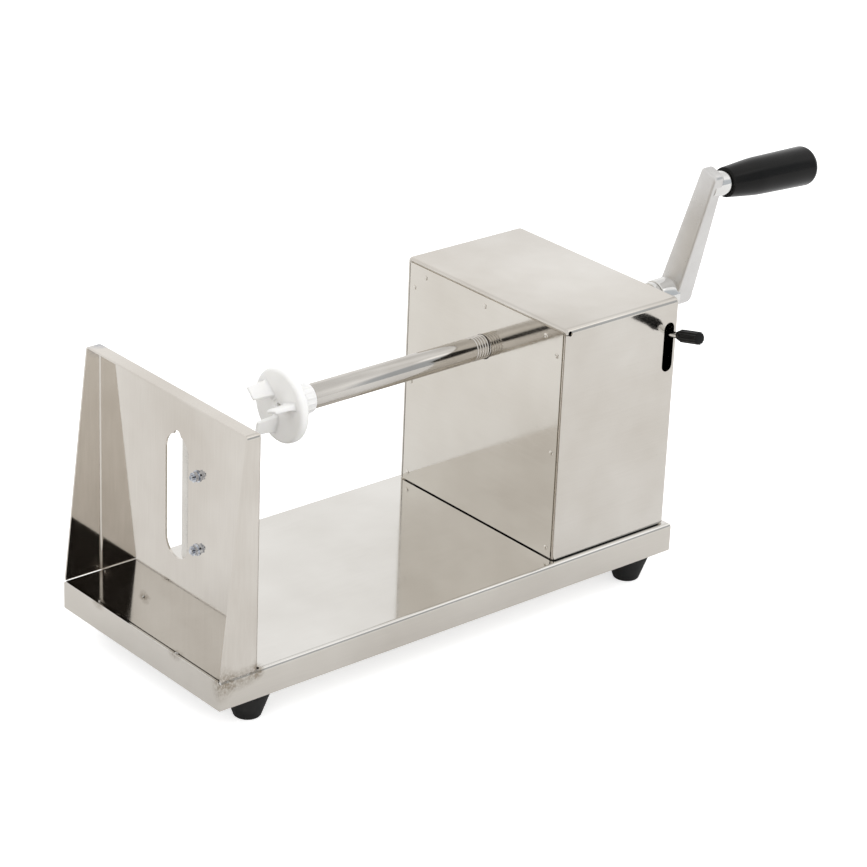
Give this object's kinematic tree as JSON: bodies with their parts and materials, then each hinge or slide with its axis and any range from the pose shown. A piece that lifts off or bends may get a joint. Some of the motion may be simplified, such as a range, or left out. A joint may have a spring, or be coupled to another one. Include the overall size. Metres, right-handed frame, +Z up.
{
  "type": "hand cranked spiral vegetable cutter",
  "caption": "Hand cranked spiral cutter: folded steel tray on feet, slotted blade stand, box housing, toothed chuck on a screw tube and a crank with a turning grip.",
  "frame": {"origin": "on the table, under the middle of the whole machine's bounding box at rest", "axes": "+X along the tray from the blade stand to the crank, +Y across it away from the release lever, +Z up"},
  "size_m": [0.631, 0.2248, 0.3058],
  "materials": {
    "stainless_brushed": "brushed satin",
    "stainless_polished": "mirror polished sheet",
    "white_nylon": "moulded, slightly glossy",
    "black_plastic": "moulded gloss",
    "black_rubber": "matt",
    "chrome": "polished",
    "zinc_plated": "zinc plated",
    "blade_steel": "ground",
    "cast_alloy": "cast and polished"
  },
  "bodies": {
    "frame": {"base_tray": "stainless_brushed", "end_skirt": "stainless_brushed", "foot_front_near": "black_rubber", "foot_front_far": "black_rubber", "foot_rear_near": "black_rubber", "foot_rear_far": "black_rubber", "foot_screws": "zinc_plated", "foot_nuts": "zinc_plated", "blade_stand": "stainless_polished", "cutting_blade": "blade_steel", "blade_screws": "zinc_plated", "blade_washers": "zinc_plated", "blade_nuts": "zinc_plated", "housing_shell": "stainless_polished", "front_panel": "stainless_polished", "rear_panel": "stainless_polished", "front_rivets": "zinc_plated", "rear_rivets": "zinc_plated", "shaft_carrier": "stainless_brushed", "front_bush": "white_nylon", "rear_bush": "white_nylon", "clutch_bracket": "stainless_brushed", "pivot_pin": "zinc_plated", "pivot_clip": "zinc_plated", "clutch_spring": "zinc_plated"},
    "carriage": {"stop_ring": "black_rubber"},
    "shaft": {"feed_tube": "chrome", "chuck": "white_nylon", "chuck_screw": "zinc_plated", "crank_arm": "cast_alloy", "arm_screw": "zinc_plated", "grip_spindle": "zinc_plated"},
    "grip": {"grip": "black_plastic"},
    "clutch": {"clutch_plate": "stainless_brushed", "half_nut": "white_nylon", "half_nut_screws": "zinc_plated", "clutch_rod": "chrome", "clutch_knob": "black_plastic"}
  },
  "joints": [
    {"name": "shaft_feed", "type": "slide", "parent": "frame", "child": "carriage", "axis": [1, 0, 0], "range_m": [-0.059, 0.105]},
    {"name": "crank_turn", "type": "hinge", "parent": "carriage", "child": "shaft", "pos_m": [0.00448, 0.01491, 0.1905], "axis": [1, 0, 0], "range_deg": [-4248, 7560]},
    {"name": "grip_spin", "type": "hinge", "parent": "shaft", "child": "grip", "pos_m": [0.25911, -0.0177, 0.28797], "axis": [0.9987, 0.0161, -0.048], "continuous": true},
    {"name": "clutch_lever", "type": "hinge", "parent": "frame", "child": "clutch", "pos_m": [0.11038, 0.07931, 0.1665], "axis": [1, 0, 0], "range_deg": [0, 9], "stiffness_Nm_per_rad": 1.2, "springref_deg": -17.19, "deforming": ["clutch_spring"]}
  ],
  "couplings": [
    {"joint": "shaft_feed", "follows": "crank_turn", "m_per_rad": 0.00079577}
  ]
}
